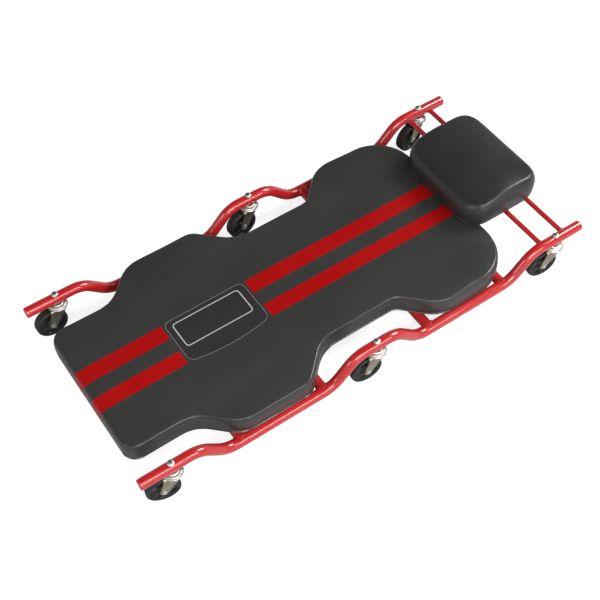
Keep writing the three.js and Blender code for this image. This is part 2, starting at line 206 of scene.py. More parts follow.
def vinyl(name, dark, light, rough, specular, badge=False):
    """Embossed upholstery vinyl. The badge is a blank printed panel."""
    s = Shader(name)
    cloud = s.noise(9, 2)
    colour = s.mix(cloud, dark, light)
    rub = s.ramp(s.noise(13, 1.5, s.stretched(0.4, 1, 1)), 0.42, 0.85)
    rubbed = tuple(c * 1.6 + 0.004 for c in light)
    colour = s.mix(s.math("MULTIPLY", rub, 0.2), colour, rubbed)
    roughness = s.math("ADD", s.ramp(cloud, 0.3, 0.7, rough - 0.03, rough + 0.02),
                       s.math("MULTIPLY", rub, 0.015))
    if badge:
        outer = s.rounded_box(BADGE_X, BADGE_Y, 12, bow=9)
        inner = s.rounded_box(PANEL_X, PANEL_Y, 6)
        colour = s.mix(s.ramp(outer, 0.0, 0.3 * MM, 0.35, 0.0), colour, (0.016, 0.016, 0.017))
        colour = s.mix(s.math("MULTIPLY", s.line(outer, 1.1), 0.8), colour, (0.22, 0.22, 0.22))
        colour = s.mix(s.line(inner, 2.0), colour, (0.45, 0.45, 0.45))
    grain = s.ramp(s.cells(620), 0.0, 0.16)
    pores = s.noise(1900, 2)
    normal = s.bump(pores, 0.12, 0.05, s.bump(grain, 0.22, 0.10))
    return s.finish(Base_Color=colour, Roughness=roughness, Specular_IOR_Level=specular,
                    Normal=normal)


def plywood():
    s = Shader("plywood")
    rings = s.noise(9, 5, s.stretched(1.2, 16, 16), 0.6)
    fibre = s.noise(70, 4, s.stretched(0.6, 14, 14), 0.7)
    colour = s.mix(s.ramp(rings, 0.35, 0.68), (0.52, 0.34, 0.18), (0.36, 0.21, 0.10))
    colour = s.mix(s.ramp(fibre, 0.5, 0.75, 0.0, 0.5), colour, (0.24, 0.13, 0.06))
    return s.finish(Base_Color=colour, Roughness=s.ramp(fibre, 0.3, 0.7, 0.68, 0.85),
                    Normal=s.bump(fibre, 0.4, 0.2))


def plated(name, light, dark, rough):
    """Zinc or bare steel with faint smears and pits."""
    s = Shader(name)
    smear = s.noise(120, 5, None, 0.6)
    pits = s.noise(900, 3)
    colour = s.mix(s.ramp(smear, 0.35, 0.7), light, dark)
    roughness = s.ramp(smear, 0.3, 0.7, rough, rough + 0.14)
    return s.finish(Base_Color=colour, Metallic=1.0, Roughness=roughness,
                    Normal=s.bump(pits, 0.12, 0.04))


def rubber(name, shade, rough, dusty):
    s = Shader(name)
    cloud, pits = s.noise(90, 5), s.noise(1400, 3)
    dust = s.math("MULTIPLY", s.ramp(s.noise(220, 6, None, 0.7), 0.5, 0.75), dusty)
    colour = s.mix(dust, s.mix(cloud, (shade,) * 3, (shade * 1.5,) * 3), (0.16, 0.15, 0.14))
    return s.finish(Base_Color=colour, Roughness=s.ramp(cloud, 0.3, 0.7, rough, rough + 0.12),
                    Specular_IOR_Level=0.4, Normal=s.bump(pits, 0.25, 0.06))


RED = powder_coat()
DECK_VINYL = vinyl("deck_vinyl", (0.031, 0.031, 0.030), (0.040, 0.040, 0.039), 0.235, 0.4,
                   badge=True)
STRIPE_VINYL = vinyl("red_stripe_vinyl", (0.33, 0.003, 0.003), (0.37, 0.004, 0.004), 0.34, 0.22)
HEADREST_VINYL = vinyl("headrest_vinyl", (0.022, 0.021, 0.021), (0.029, 0.028, 0.028), 0.31, 0.45)
PLYWOOD = plywood()
BRIGHT_ZINC = plated("bright_zinc", (0.70, 0.70, 0.66), (0.54, 0.54, 0.50), 0.36)
DULL_ZINC = plated("dull_zinc", (0.40, 0.38, 0.29), (0.31, 0.29, 0.21), 0.38)
# dark metal for the floor of the bolt heads' hex sockets: grime, together with painted shade of the
# recess
SHADE_AND_GRIME = plated("socket_shade_and_grime", (0.20, 0.20, 0.19), (0.12, 0.12, 0.12), 0.5)
STEEL = plated("ball_steel", (0.70, 0.70, 0.72), (0.55, 0.55, 0.57), 0.16)
TYRE = rubber("wheel_rubber", 0.013, 0.5, 0.18)
HUB = rubber("wheel_core", 0.008, 0.36, 0.1)

# ---------------------------------------------------------------- mesh code


class Shape:
    """Vertices in millimetres and faces, gathered from several surfaces."""

    def __init__(self):
        self.vertices, self.faces, self.numbers = [], [], []

    def add(self, surface, matrix=None, number=0):
        vertices, faces = surface
        start = len(self.vertices)
        self.vertices += [matrix @ Vector(v) if matrix else Vector(v) for v in vertices]
        self.faces += [[start + i for i in face] for face in faces]
        self.numbers += [number] * len(faces)
        return self

    def mesh(self, name, *materials, sharp=40):
        mesh = bpy.data.meshes.new(name)
        mesh.from_pydata([v * MM for v in self.vertices], [], self.faces)
        for material in materials:
            mesh.materials.append(material)
        mesh.polygons.foreach_set("material_index", self.numbers)
        bm = bmesh.new()
        bm.from_mesh(mesh)
        bmesh.ops.remove_doubles(bm, verts=bm.verts, dist=1e-6)
        bmesh.ops.recalc_face_normals(bm, faces=bm.faces)
        bm.to_mesh(mesh)
        bm.free()
        soften(mesh, sharp)
        return mesh


def soften(mesh, sharp):
    mesh.shade_smooth()
    mesh.set_sharp_from_angle(angle=math.radians(sharp))


def place(name, mesh, body, slot, *nodes, matrix=None):
    """Puts a mesh in the scene as a piece that rides on a body and stands for CAD nodes."""
    piece = bpy.data.objects.new(name, mesh)
    bpy.context.scene.collection.objects.link(piece)
    if matrix:
        piece.matrix_world = matrix
    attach(piece, body)
    if nodes:
        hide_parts(*nodes)
    return piece


def with_modifiers(mesh, *modifiers):
    """The mesh with each (kind, settings) modifier applied in turn."""
    carrier = bpy.data.objects.new("carrier", mesh)
    bpy.context.scene.collection.objects.link(carrier)
    for kind, settings in modifiers:
        modifier = carrier.modifiers.new(kind, kind)
        for key, value in settings.items():
            setattr(modifier, key, value)
    evaluated = carrier.evaluated_get(bpy.context.evaluated_depsgraph_get())
    result = bpy.data.meshes.new_from_object(evaluated)
    bpy.data.objects.remove(carrier)
    result.name = mesh.name
    return result


def round_path(corners, closed=True, step=6.0):
    """Rounds a path's corners, given as (u, v, radius). An open path keeps its two end points."""
    points = [Vector(c[:2]) for c in corners]
    made = []
    for i, (here, corner) in enumerate(zip(points, corners)):
        radius = corner[2] if closed or 0 < i < len(points) - 1 else 0
        if radius == 0:
            made.append(here.copy())
            continue
        into = (here - points[i - 1]).normalized()
        out = (points[(i + 1) % len(points)] - here).normalized()
        turn = math.atan2(into.cross(out), into.dot(out))
        start = here - into * radius * math.tan(abs(turn) / 2)
        centre = start + Vector((-into.y, into.x)) * math.copysign(radius, turn)
        steps = max(2, math.ceil(math.degrees(abs(turn)) / step))
        arm = start - centre
        made += [centre + Matrix.Rotation(turn * k / steps, 2) @ arm for k in range(steps + 1)]
    return made


def inset(outline, distance):
    """Moves a closed counter-clockwise outline inwards."""
    points = np.array(outline)
    tangent = np.roll(points, -1, 0) - np.roll(points, 1, 0)
    tangent /= np.linalg.norm(tangent, axis=1)[:, None]
    return points + np.column_stack((-tangent[:, 1], tangent[:, 0])) * distance


def resample(outline, spacing):
    """Points a fixed distance apart along a closed outline."""
    points = np.vstack((np.array(outline), outline[0]))
    length = np.concatenate(([0], np.cumsum(np.linalg.norm(np.diff(points, axis=0), axis=1))))
    at = np.linspace(0, length[-1], max(3, round(length[-1] / spacing)), endpoint=False)
    return np.column_stack([np.interp(at, length, points[:, k]) for k in (0, 1)])


def grid(rows, wrap=True, cap=True):
    """A skin over rows of equal point count. wrap closes each row, cap fills the two end rows."""
    count = len(rows[0])
    faces = []
    for r in range(len(rows) - 1):
        for i in range(count if wrap else count - 1):
            a, b = r * count + i, r * count + (i + 1) % count
            faces.append((a, b, b + count, a + count))
    if cap:
        last = (len(rows) - 1) * count
        faces += [tuple(range(count)), tuple(range(last, last + count))]
    return [p for row in rows for p in row], faces


def loop(rows):
    """A skin over rows that closes both round each row and from the last row to the first."""
    vertices, faces = grid(rows, cap=False)
    count, last = len(rows[0]), (len(rows) - 1) * len(rows[0])
    faces += [(last + i, last + (i + 1) % count, (i + 1) % count, i) for i in range(count)]
    return vertices, faces


def circle(radius, sides, turn=0.0):
    return [(radius * math.cos(a), radius * math.sin(a))
            for a in (turn + 2 * math.pi * i / sides for i in range(sides))]


def lathe(profile, sides, shape=None):
    """Turns (radius, height) points about Z. shape(angle, radius, height) may change each point."""
    rows = []
    for radius, height in profile:
        row = []
        for i in range(sides):
            angle = 2 * math.pi * i / sides
            r, h = shape(angle, radius, height) if shape else (radius, height)
            row.append((r * math.cos(angle), r * math.sin(angle), h))
        rows.append(row)
    return grid(rows)


def ball(radius, sides):
    angles = [2 * math.pi * k / sides for k in range(1, sides // 2)]
    return lathe([(radius * math.sin(a), -radius * math.cos(a)) for a in angles], sides)


def hexagon(angle, across_flats):
    """The radius of a hexagon at an angle, with corners at multiples of 60 degrees."""
    off = math.fmod(angle, math.pi / 3) - math.pi / 6
    return across_flats / 2 / math.cos(off)


# ---------------------------------------------------------------- frame


def rail_path():
    run = (RAIL_HIGH - RAIL_LOW) / 2
    half = [
        (INNER_CRANK - run, RAIL_HIGH, CRANK_BEND), (INNER_CRANK + run, RAIL_LOW, CRANK_BEND),
        (OUTER_CRANK - run, RAIL_LOW, CRANK_BEND), (OUTER_CRANK + run, RAIL_HIGH, CRANK_BEND),
        (RAIL_HALF_LENGTH, RAIL_HIGH, 0),
    ]
    mirrored = [(-x, z, radius) for x, z, radius in reversed(half)]
    return round_path([*mirrored, *half], closed=False, step=3)


def rail_surface(y):
    """A bent tube with rounded, slightly dished ends."""
    path = rail_path()
    rounding, dish = 2.2, 0.7
    ends = [(rounding * (1 - math.cos(a)), RAIL_RADIUS - rounding * (1 - math.sin(a)))
            for a in np.linspace(0, math.pi / 2, 6)]
    face = [(dish, 0.5), (0.2, 6.2), *ends]
    stops = [(Vector((-RAIL_HALF_LENGTH + d, RAIL_HIGH)), r) for d, r in face]
    stops += [(p, RAIL_RADIUS) for p in path[1:-1]]
    stops += [(Vector((-p.x, p.y)), r) for p, r in reversed(stops[:len(face)])]
    rows = []
    for i, (p, radius) in enumerate(stops):
        before, after = stops[max(i - 1, 0)][0], stops[min(i + 1, len(stops) - 1)][0]
        bent = len(face) <= i < len(stops) - len(face)
        along = (after - before).normalized() if bent else Vector((1, 0))
        rows.append([(p.x - along.y * v, y + u, p.y + along.x * v) for u, v in circle(radius, 40)])
    return grid(rows)


def reach_of_rail(z, rail_z):
    """How far a bar at that height runs out, to just inside a rail's near face."""
    return RAIL_Y - math.sqrt(max(0.0, RAIL_RADIUS ** 2 - (z - rail_z) ** 2)) + 0.3


def bar_surface(x, z, radius, rail_z):
    ends = [[(x + u, side * reach_of_rail(z + v, rail_z), z + v) for u, v in circle(radius, 36)]
            for side in (-1, 1)]
    middle = [[(x + u, y, z + v) for u, v in circle(radius, 36)] for y in (-150, 150)]
    return grid([ends[0], *middle, ends[1]])


def weld_surface(x, z, radius, rail_z, side, thick):
    """A rippled bead round a bar's joint with a rail."""
    steps = 110
    rows = []
    for i in range(steps):
        a = 2 * math.pi * i / steps
        out = Vector((math.cos(a), 0, math.sin(a)))
        foot = out * radius + Vector((x, 0, z))
        foot.y = side * (reach_of_rail(foot.z, rail_z) - 0.3)
        inward = Vector((0, -side, 0))
        bead = thick * (1 + 0.16 * math.sin(a * radius * 2.4) + 0.08 * math.sin(3 * a + x))
        rows.append([foot + out * (bead * math.cos(t)) + inward * (bead * 1.15 * math.sin(t))
                     for t in np.linspace(0, 2 * math.pi, 10, endpoint=False)])
    return loop(rows)


for side_name, side in SIDES:
    mesh = Shape().add(rail_surface(side * RAIL_Y)).mesh(f"side_rail_{side_name}", RED)
    place(f"rail_{side_name}", mesh, "frame", "frame_paint", f"side_rail_{side_name}")

BARS = [(f"cross_tube_{n}", x, CROSS_TUBE_Z, CROSS_TUBE_RADIUS, RAIL_LOW, 1.7)
        for n, x in CROSS_TUBES.items()]
BARS += [(f"head_rod_{n}", x, RAIL_HIGH, HEAD_ROD_RADIUS, RAIL_HIGH, 1.2)
         for n, x in HEAD_RODS.items()]
for name, x, z, radius, rail_z, thick in BARS:
    mesh = Shape().add(bar_surface(x, z, radius, rail_z)).mesh(name, RED, sharp=50)
    place(f"{name}_bar", mesh, "frame", "frame_paint", name)
    welds = Shape()
    for _, side in SIDES:
        welds.add(weld_surface(x, z, radius, rail_z, side, thick))
    place(f"{name}_welds", welds.mesh(f"{name}_welds", RED), "frame", "frame_paint")

# ---------------------------------------------------------------- cushions


def cushion_start(outline, bottom, rings):
    """A closed cushion slightly smaller than the finished one: rings are (height, inset)."""
    rows = [[(x, y, bottom + height) for x, y in inset(outline, distance)]
            for height, distance in rings]
    return Shape().add(grid(rows)).mesh("cushion_start")


def loaf_start(outline):
    """The headrest's start: low sides, then a top that curves down to its foot and head edges."""
    middle, half = sum(HEADREST_X) / 2, (HEADREST_X[1] - HEADREST_X[0]) / 2

    def top(x, y, depth):
        power = FOOT_POWER if x < middle else HEAD_POWER
        along = (1 - min(1.0, abs(x - middle) / half) ** power) ** (1 / power)
        across = math.sqrt(1 - (1 - min(1.0, depth / HEADREST_ROUNDING)) ** 2)
        rise = (HEADREST_CROWN - HEADREST_SHOULDER) * along * across
        return x, y, HEADREST_BOTTOM + HEADREST_SHOULDER + rise

    line = resample(outline, 4)
    rows = [[(x, y, HEADREST_BOTTOM + height) for x, y in inset(line, depth)]
            for height, depth in HEADREST_SIDE]
    rows += [[top(x, y, depth) for x, y in inset(line, depth)] for depth in HEADREST_TOP_DEPTHS]
    core = inset(line, HEADREST_TOP_DEPTHS[-1])
    for scale in HEADREST_CORE_SCALES:
        rows.append([top(middle + (x - middle) * scale, y * scale, HEADREST_ROUNDING)
                     for x, y in core])
    return Shape().add(grid(rows)).mesh("headrest_start")


def read(vertices, key):
    """A vector of every vertex, as rows of three."""
    values = np.empty(len(vertices) * 3)
    vertices.foreach_get(key, values)
    return values.reshape(-1, 3)


def evened(mesh, values, rounds, weight=1.0):
    """Averages each vertex's values with its neighbours', as far as its weight lets it."""
    edges = np.empty(len(mesh.edges) * 2, dtype=np.int32)
    mesh.edges.foreach_get("vertices", edges)
    a, b = edges.reshape(-1, 2).T
    size = len(values)
    count = np.bincount(edges, minlength=size)[:, None]
    for _ in range(rounds):
        total = np.column_stack([
            np.bincount(a, values[b, k], size) + np.bincount(b, values[a, k], size)
            for k in range(3)])
        values = values + (total / count - values) * weight / 2
    return values


def calm_top(mesh):
    """Takes out the faint steps that remeshing leaves in the nearly flat top."""
    weight = np.clip((read(mesh.vertices, "normal")[:, 2:] - 0.9) / 0.08, 0, 1)
    calmed = evened(mesh, read(mesh.vertices, "co"), CALMING_ROUNDS, weight)
    mesh.vertices.foreach_set("co", calmed.ravel())
    mesh.update()


def inflate(mesh, bottom, slack, cap, rounds):
    """Remeshes a cushion, blows it up as cloth with its underside held, and limits its movement.

    slack is how much longer than the start the cloth may be, and cap the most a point moves, in mm.
    """
    mesh = with_modifiers(mesh, ("REMESH", {"mode": "VOXEL", "voxel_size": VOXEL * MM}))
    cushion = bpy.data.objects.new("cushion", mesh)
    bpy.context.scene.collection.objects.link(cushion)
    start, outward = read(mesh.vertices, "co"), read(mesh.vertices, "normal")
    held = cushion.vertex_groups.new(name="held")
    held.add([int(i) for i in np.flatnonzero(start[:, 2] < (bottom + 1.5) * MM)], 1.0, "ADD")
    cloth = cushion.modifiers.new("Cloth", "CLOTH")
    cloth.settings.use_pressure = True
    cloth.settings.uniform_pressure_force = PRESSURE
    cloth.settings.effector_weights.gravity = 0
    cloth.settings.shrink_min = cloth.settings.shrink_max = -slack
    cloth.settings.vertex_group_mass = "held"
    cloth.settings.quality = 4
    cloth.point_cache.frame_start, cloth.point_cache.frame_end = 1, FRAMES
    for step in range(1, FRAMES + 1):
        bpy.context.scene.frame_set(step)
    blown = cushion.evaluated_get(bpy.context.evaluated_depsgraph_get()).data
    shift = read(blown.vertices, "co") - start
    inward = np.minimum(0, (shift * outward).sum(1) + 0.5 * MM)
    shift -= outward * inward[:, None]
    length = np.linalg.norm(shift, axis=1, keepdims=True)
    shift *= np.tanh(length / (cap * MM)) * cap * MM / np.maximum(length, 1e-9)
    shift = evened(mesh, shift, rounds)
    mesh.vertices.foreach_set("co", (start + shift).ravel())
    mesh.update()
    bpy.data.objects.remove(cushion)
    bpy.context.scene.frame_set(1)
    return mesh


def nearest_on(outline, points):
    """For each point: the nearest place on a closed outline, the way along it, the distance."""
    a = np.array(outline)
    b = np.roll(a, -1, 0)
    way = np.concatenate(([0], np.cumsum(np.linalg.norm(b - a, axis=1))))
    found, along, gap = np.empty((len(points), 2)), np.empty(len(points)), np.empty(len(points))
    batch = 4000
    for start in range(0, len(points), batch):
        part = slice(start, start + batch)
        p = points[part, None, :]
        t = np.clip(((p - a) * (b - a)).sum(2) / ((b - a) ** 2).sum(1), 0, 1)
        q = a + (b - a) * t[..., None]
        d = np.linalg.norm(p - q, axis=2)
        best = d.argmin(1)
        rows = np.arange(len(best))
        found[part] = q[rows, best]
        along[part] = way[best] + t[rows, best] * (way[best + 1] - way[best])
        gap[part] = d[rows, best]
    return found, along, gap


def gather(mesh, outline, bottom, height, puckers):
    """Small gathers low in the cover's side, round each (x, y, spread, depth)."""
    co, normals = read(mesh.vertices, "co") / MM, read(mesh.vertices, "normal")
    _, along, gap = nearest_on(outline, co[:, :2])
    up = np.clip((co[:, 2] - bottom) / height, 0, 1)
    upright = np.clip(1 - np.abs(normals[:, 2]) * 1.3, 0, 1)
    level = upright * np.clip(up * 8, 0, 1) * (1 - up) ** 0.8
    shift = np.zeros(len(co))
    for x, y, spread, depth in puckers:
        near = np.exp(-((co[:, 0] - x) ** 2 + (co[:, 1] - y) ** 2) / spread ** 2)
        fold = np.sin(along * 2 * math.pi / PLEAT + 0.9 * np.sin(along * 0.31) + 1.5 * up)
        shift += depth * near * level * fold
    co += normals * (shift * (gap < 12))[:, None]
    mesh.vertices.foreach_set("co", (co * MM).ravel())
    mesh.update()


def open_underside(mesh, outline, bottom, foot, lip):
    """Cuts off a cushion's underside and closes it with a narrow lip and a pocket for the board."""
    bm = bmesh.new()
    bm.from_mesh(mesh)
    bmesh.ops.bisect_plane(bm, geom=[*bm.verts, *bm.edges, *bm.faces], dist=1e-6, clear_outer=True,
                           plane_co=Vector((0, 0, bottom + 2)) * MM, plane_no=Vector((0, 0, -1)))
    rim = [e for e in bm.edges if e.is_boundary]
    for depth, z in ((foot, bottom), (lip, bottom), (lip, bottom + BOARD_SPACE)):
        made = bmesh.ops.extrude_edge_only(bm, edges=rim)["geom"]
        rim = [g for g in made if isinstance(g, bmesh.types.BMEdge) and g.is_boundary]
        corners = list({v for e in rim for v in e.verts})
        flat = np.array([(v.co.x / MM, v.co.y / MM) for v in corners])
        place_of, _, _ = nearest_on(inset(outline, depth), flat)
        for v, (x, y) in zip(corners, place_of):
            v.co = (x * MM, y * MM, z * MM)
    bmesh.ops.holes_fill(bm, edges=rim, sides=0)
    bmesh.ops.remove_doubles(bm, verts=bm.verts, dist=1e-6)
    bmesh.ops.recalc_face_normals(bm, faces=bm.faces)
    if bm.calc_volume(signed=True) < 0:
        bmesh.ops.reverse_faces(bm, faces=bm.faces)
    bm.to_mesh(mesh)
    bm.free()


def cut_stripes(mesh):
    """Cuts the mesh along the stripes' edges and gives their faces the second material."""
    bm = bmesh.new()
    bm.from_mesh(mesh)
    planes = [(Vector((0, y * MM, 0)), Vector((0, 1, 0))) for pair in STRIPES_Y for y in pair]
    for co, normal in planes:
        bmesh.ops.bisect_plane(bm, geom=[*bm.verts, *bm.edges, *bm.faces], dist=1e-6,
                               plane_co=co, plane_no=normal)
    for x in STRIPE_GAP_X:
        near = [f for f in bm.faces if abs(f.calc_center_median().y) < 60 * MM]
        geom = [*{v for f in near for v in f.verts}, *{e for f in near for e in f.edges}, *near]
        bmesh.ops.bisect_plane(bm, geom=geom, dist=1e-6, plane_co=Vector((x * MM, 0, 0)),
                               plane_no=Vector((1, 0, 0)))
    for face in bm.faces:
        middle = face.calc_center_median() / MM
        printed = any(low < middle.y < high for low, high in STRIPES_Y)
        gap = STRIPE_GAP_X[0] < middle.x < STRIPE_GAP_X[1]
        face.material_index = 1 if printed and not gap and face.normal.z > -0.3 else 0
    bm.to_mesh(mesh)
    bm.free()


def turned_under(outline, bottom, foot, width):
    """The cover's edge, folded under the board and trimmed by hand."""
    line = inset(resample(outline, 4), foot)
    inner = []
    for i, (x, y) in enumerate(line):
        wave = 1.3 * math.sin(i * 0.21) + 0.9 * math.sin(i * 0.57 + 1) + 0.5 * math.sin(i * 1.3 + 2)
        inner.append(inset(line, width + wave)[i])
    folded = ((line, 0.02), (inset(line, 0.8), 0.22), (inset(line, width * 0.6), 0.24),
              (inner, 0.22), (inner, 0.02))
    return loop([[(x, y, bottom - drop) for x, y in row] for row, drop in folded])


def staple(length, wire):
    """The crown of one wire staple, lying along X under z 0."""
    half, bend = length / 2, wire * 0.7
    corners = [(-half, 0.3, 0), (-half, -wire, bend), (half, -wire, bend), (half, 0.3, 0)]
    path = round_path(corners, closed=False, step=22)
    rows = []
    for i, p in enumerate(path):
        along = (path[min(i + 1, len(path) - 1)] - path[max(i - 1, 0)]).normalized()
        rows.append([(p.x - along.y * v, u * 1.6, p.y + along.x * v)
                     for u, v in circle(wire / 2, 8)])
    return grid(rows)


def staples(outline, bottom, depth, keep_clear):
    """A row of staples along the hem, with gaps where the cross bars are."""
    line = resample(outline, STAPLE_SPACING)
    path = inset(line, depth)
    made = Shape()
    for i, (x, y) in enumerate(path):
        if any(abs(x - bar) < 15 for bar in keep_clear):
            continue
        before, after = path[i - 1], path[(i + 1) % len(path)]
        turn = math.atan2(after[1] - before[1], after[0] - before[0]) + 0.12 * math.sin(i * 2.3)
        made.add(staple(STAPLE_LENGTH, STAPLE_WIRE),
                 Matrix.Translation((x, y, bottom - 0.24)) @ Matrix.Rotation(turn, 4, "Z"))
    return made


def soft_piece(name, start, outline, bottom, foot, lip, blown, smooth, puckers, height, materials):
    """A finished cover. blown is for inflate: the slack, the cap and the rounds of evening."""
    mesh = inflate(start, bottom, *blown)
    mesh = with_modifiers(mesh, ("SMOOTH", {"factor": 0.5, "iterations": smooth}))
    calm_top(mesh)
    mesh = with_modifiers(mesh, ("SUBSURF", {"levels": 1, "render_levels": 1}))
    gather(mesh, outline, bottom, height, puckers)
    open_underside(mesh, outline, bottom, foot, lip)
    mesh.name = name
    mesh.materials.clear()
    for material in materials:
        mesh.materials.append(material)
    return mesh


deck_outline = round_path([(x, -y, r) for x, y, r in DECK_CORNERS] + DECK_CORNERS[::-1])
deck_start = cushion_start(deck_outline, DECK_BOTTOM, DECK_RINGS)
deck_mesh = soft_piece(
    "deck_cushion", deck_start, deck_outline, DECK_BOTTOM, foot=1.0, lip=DECK_LIP,
    blown=(0.01, 2, 16), smooth=4, height=34,
    puckers=[(x, s * y, 26, 0.5) for x, y, _ in DECK_CORNERS for s in (1, -1)],
    materials=(DECK_VINYL, STRIPE_VINYL))
cut_stripes(deck_mesh)
soften(deck_mesh, 60)
deck = place("deck_cushion", deck_mesh, "frame", "deck_vinyl", "deck_pad")

x0, x1 = HEADREST_X
headrest_corners = ((x0, -HEADREST_Y), (x1, -HEADREST_Y), (x1, HEADREST_Y), (x0, HEADREST_Y))
headrest_outline = round_path([(x, y, HEADREST_CORNER) for x, y in headrest_corners])
headrest_mesh = soft_piece(
    "headrest_cushion", loaf_start(headrest_outline), headrest_outline, HEADREST_BOTTOM,
    foot=4.4, lip=HEADREST_LIP, blown=(0.06, 5, 40), smooth=8, height=26,
    puckers=[(x, y, 36, 0.9) for x in HEADREST_X for y in (-HEADREST_Y, HEADREST_Y)],
    materials=(HEADREST_VINYL,))
soften(headrest_mesh, 60)
headrest = place("headrest_cushion", headrest_mesh, "headrest", "headrest_vinyl", "headrest_pad")

for name, outline, bottom, foot, body, material, bars in (
        ("deck", deck_outline, DECK_BOTTOM, 1.4, "frame", DECK_VINYL, CROSS_TUBES),
        ("headrest", headrest_outline, HEADREST_BOTTOM, 4.8, "headrest", HEADREST_VINYL,
         HEAD_RODS)):
    hem = Shape().add(turned_under(outline, bottom, foot, HEM_WIDTH))
    place(f"{name}_hem", hem.mesh(f"{name}_hem", material, sharp=70), body, f"{name}_vinyl")
    wire = staples(outline, bottom, foot + STAPLE_DEPTH, bars.values())
    place(f"{name}_staples", wire.mesh(f"{name}_staples", BRIGHT_ZINC), body, "bright_zinc")

for name in ("deck_board", "headrest_board"):
    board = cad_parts[name]
    board.data.materials.clear()
    board.data.materials.append(PLYWOOD)

# ---------------------------------------------------------------- small fittings


def screw_shape():
    """A pan head screw, head down, with a washer and a cross recess, its seat at z 0."""
    def cross(angle, radius, height):
        if radius > 2.2:
            return radius, height
        arm = max(abs(math.cos(angle)), abs(math.sin(angle))) ** 14
        return radius * (0.42 + 0.58 * arm), height

    shaft = [(0.2, 26.3), (1.9, 23), (1.9, 0)]
    head = [(5.2, 0), (5.2, -0.5), (4.4, -0.5), (4.4, -0.9), (4.1, -1.7), (3.3, -2.25),
            (2.4, -2.45), (2.05, -2.45), (1.7, -1.3), (0.3, -1.1)]
    return Shape().add(lathe([*shaft, *head], 32, cross))


screw_mesh = screw_shape().mesh("deck_screw", BRIGHT_ZINC)
for tube, x in CROSS_TUBES.items():
    for side_name, side in SIDES:
        place(f"screw_{tube}_{side_name}", screw_mesh, "frame", "bright_zinc",
              f"deck_screw_{tube}_{side_name}",
              matrix=Matrix.Translation(Vector((x, side * SCREW_Y, SCREW_SEAT)) * MM))


def clip_mesh():
    """A strap bent under a rod about z 0, with a screw through each ear."""
    ear = HEADREST_BOTTOM - RAIL_HIGH - 0.3 - CLIP_THICKNESS / 2
    around = HEAD_ROD_RADIUS + 0.4 + CLIP_THICKNESS / 2
    path = round_path([(-CLIP_REACH, ear, 0), (-around, ear, 1.4), (-around, -around, around - 0.1),
                       (around, -around, around - 0.1), (around, ear, 1.4), (CLIP_REACH, ear, 0)],
                      closed=False, step=12)
    half = CLIP_WIDTH / 2
    rows = []
    for p in path:
        nip = max(0.0, abs(p.x) - CLIP_REACH + 2.5) * 0.9
        rows.append([(p.x, v * (half - nip), p.y) for v in np.linspace(-1, 1, 5)])
    strap = Shape().add(grid(rows, wrap=False, cap=False)).mesh("clip_strap", BRIGHT_ZINC)
    strap = with_modifiers(strap, ("SOLIDIFY", {"thickness": CLIP_THICKNESS * MM, "offset": 0}),
                           ("BEVEL", {"width": 0.3 * MM, "segments": 2, "limit_method": "ANGLE",
                                      "angle_limit": math.radians(60)}))
    whole = Shape()
    whole.add(([v.co / MM for v in strap.vertices], [list(f.vertices) for f in strap.polygons]))
    head = [(0.3, -0.9), (1.1, -1.0), (1.3, -1.5), (1.9, -1.45), (2.6, -1.0), (2.8, -0.3),
            (2.8, 0.2), (0.3, 0.2)]
    for x in (-10.6, 10.6):
        whole.add(lathe(head, 24), Matrix.Translation((x, 0, ear - CLIP_THICKNESS / 2)))
    return whole.mesh("saddle_clip", BRIGHT_ZINC)


clip = clip_mesh()
for rod, x in HEAD_RODS.items():
    for side_name, side in SIDES:
        place(f"clip_{rod}_{side_name}", clip, "headrest", "bright_zinc",
              f"saddle_clip_{rod}_{side_name}",
              matrix=Matrix.Translation(Vector((x, side * CLIP_Y, RAIL_HIGH)) * MM))

# ---------------------------------------------------------------- casters, about their stem axis


def stem_bolt_mesh():
    """A button head bolt with a hex socket above the rail and a nut under the fork's crown."""
    socket, floor = 4.3, 94.4

    def shape(angle, radius, height):
        return (hexagon(angle, socket), height) if radius == socket else (radius, height)

    seat, top = 93.3, 97.2
    dome = [(6.5 * math.cos(a), seat + 0.9 + (top - seat - 0.9) * math.sin(a))
            for a in np.linspace(0, 1.2, 9)]
    profile = [(4, 62.4), (4, seat), (6.3, seat), (6.5, seat + 0.3), *dome, (socket, top - 0.1),
               (socket, floor), (0.4, floor - 0.4)]
    bolt = Shape().add(lathe(profile, 48, shape))

    def nut(angle, radius, height):
        return (min(radius, hexagon(angle, 10.4)), height)

    bolt.add(lathe([(3.6, 62.1), (6.0, 62.1), (6.0, 61.0), (5.4, 60.7), (3.8, 60.7),
                    (3.4, 60.75), (0.4, 60.8)], 48, nut))
    mesh = bolt.mesh("stem_bolt", BRIGHT_ZINC, SHADE_AND_GRIME)
    # the socket's floor takes the dark metal, which paints the recess's shade along with its grime
    for face in mesh.polygons:
        middle = face.center / MM
        face.material_index = middle.xy.length < socket * 0.6 and floor - 1 < middle.z < top - 0.5
    return mesh


def cup_mesh():
    """A pressed dish with a stepped crown and a rolled rim."""
    section = round_path([
        (4.7, 72.7, 0), (9.6, 72.7, 1.0), (11.2, 71.4, 1.2), (15.2, 70.9, 2.2),
        (17.2, 67.4, 1.5), (18.0, 66.6, 0.5), (18.0, 65.5, 0.5), (16.4, 65.5, 0.5),
        (16.0, 68.0, 1.5), (14.6, 69.6, 1.2), (10.4, 70.2, 1), (4.7, 70.9, 0),
    ], closed=False, step=18)
    rows = [[(p.x * math.cos(a), p.x * math.sin(a), p.y) for p in section]
            for a in np.linspace(0, 2 * math.pi, 64, endpoint=False)]
    return Shape().add(loop(rows)).mesh("swivel_cup", BRIGHT_ZINC, sharp=45)


def balls_mesh():
    count, radius = 13, 2.55
    made = Shape()
    for i in range(count):
        turn = Matrix.Rotation(2 * math.pi * i / count, 4, "Z")
        made.add(ball(radius, 16), turn @ Matrix.Translation((12.2, 0, 67.8)))
    return made.mesh("balls", STEEL)


